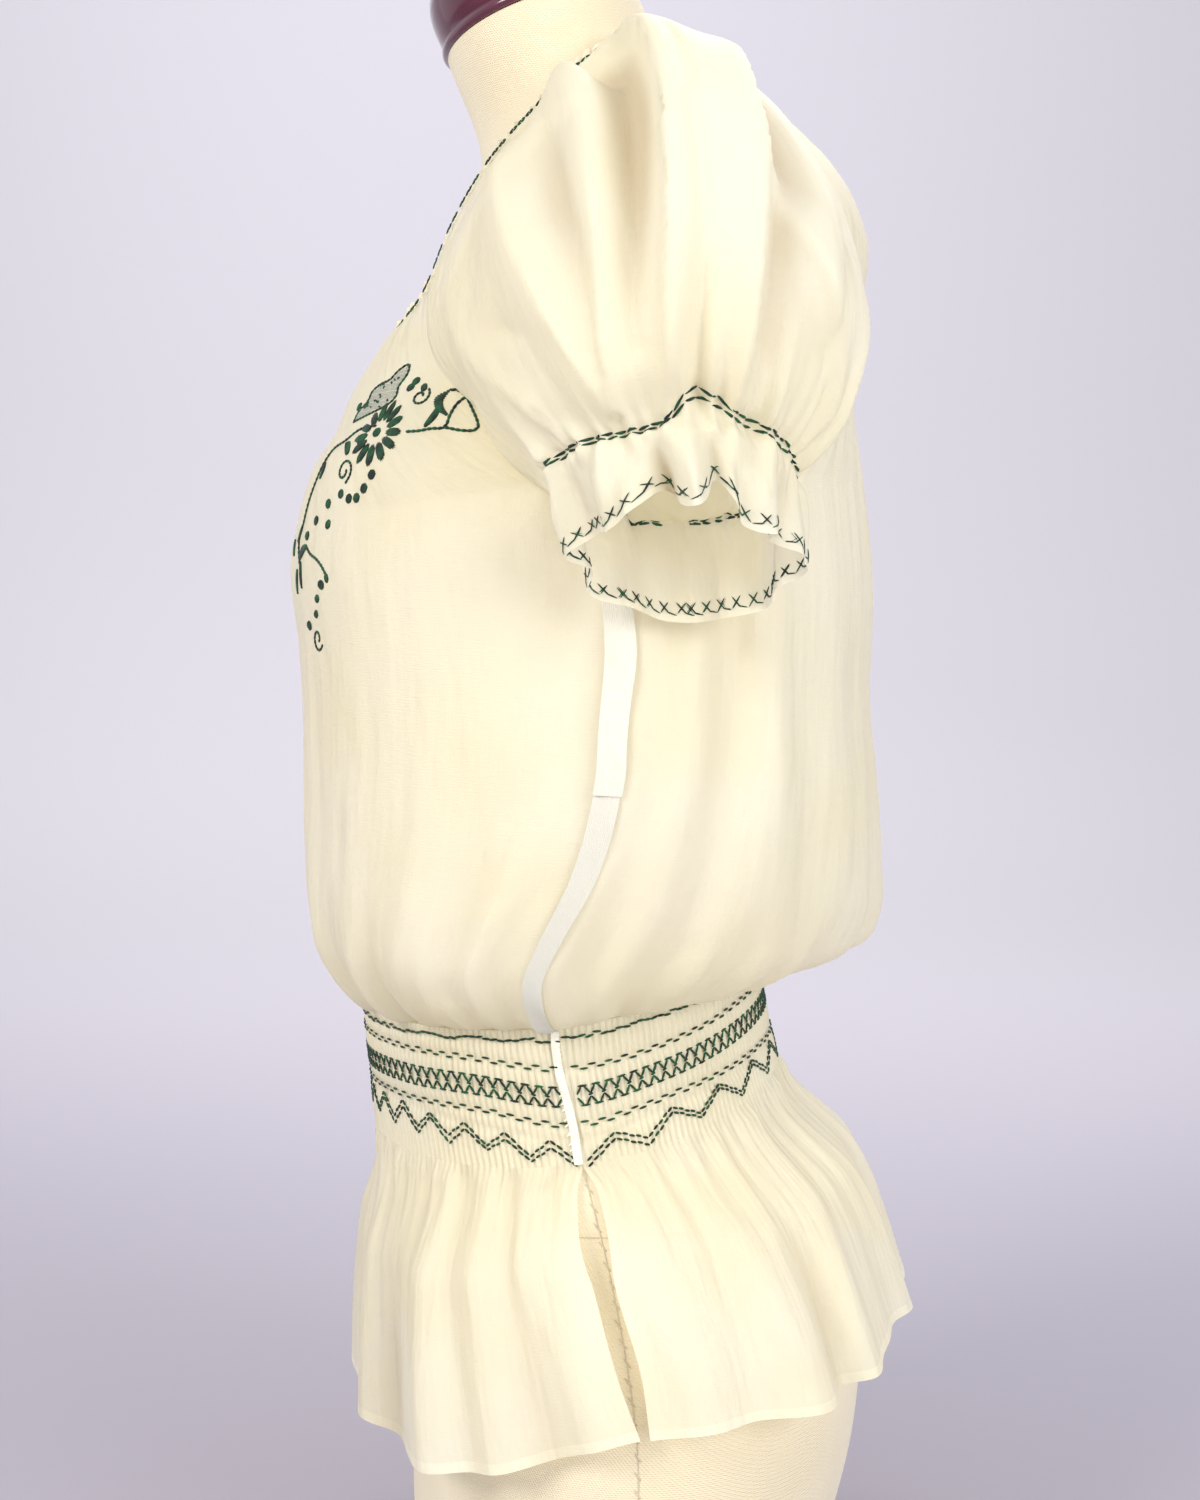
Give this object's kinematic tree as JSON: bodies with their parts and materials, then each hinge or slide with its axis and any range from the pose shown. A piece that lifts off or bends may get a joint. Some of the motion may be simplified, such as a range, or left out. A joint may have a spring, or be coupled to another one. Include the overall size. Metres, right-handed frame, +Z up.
{
  "type": "embroidered folk blouse on a limbless dress form",
  "caption": "Short-sleeved folk blouse in sheer cream silk with puff sleeves, smocked waist, peplum and dark green embroidery, worn by a limbless dress form.",
  "frame": {"origin": "centre of the bounding box on the surface that the dress form stands on", "axes": "+Z up, -Y towards the wearer's front, +X towards the wearer's left"},
  "size_m": [0.4844, 0.295, 0.78],
  "materials": {
    "silk_cloth": "thin cream silk with a soft sheen, part see-through, dark green cotton embroidery",
    "opening_tape": "white woven tape, stitched by hand",
    "canvas_cover": "matt cream canvas with hand-sewn seams",
    "gloss_cap": "turned cap in dark plum gloss lacquer"
  },
  "bodies": {
    "root": {"dress_form": "canvas_cover", "neck_cap": "gloss_cap", "front_bodice": "silk_cloth", "back_bodice": "silk_cloth", "front_smocking": "silk_cloth", "back_smocking": "silk_cloth", "front_peplum": "silk_cloth", "back_peplum": "silk_cloth", "sleeve_left": "silk_cloth", "sleeve_right": "silk_cloth", "neck_edge": "silk_cloth", "side_tape": "opening_tape"}
  },
  "joints": []
}
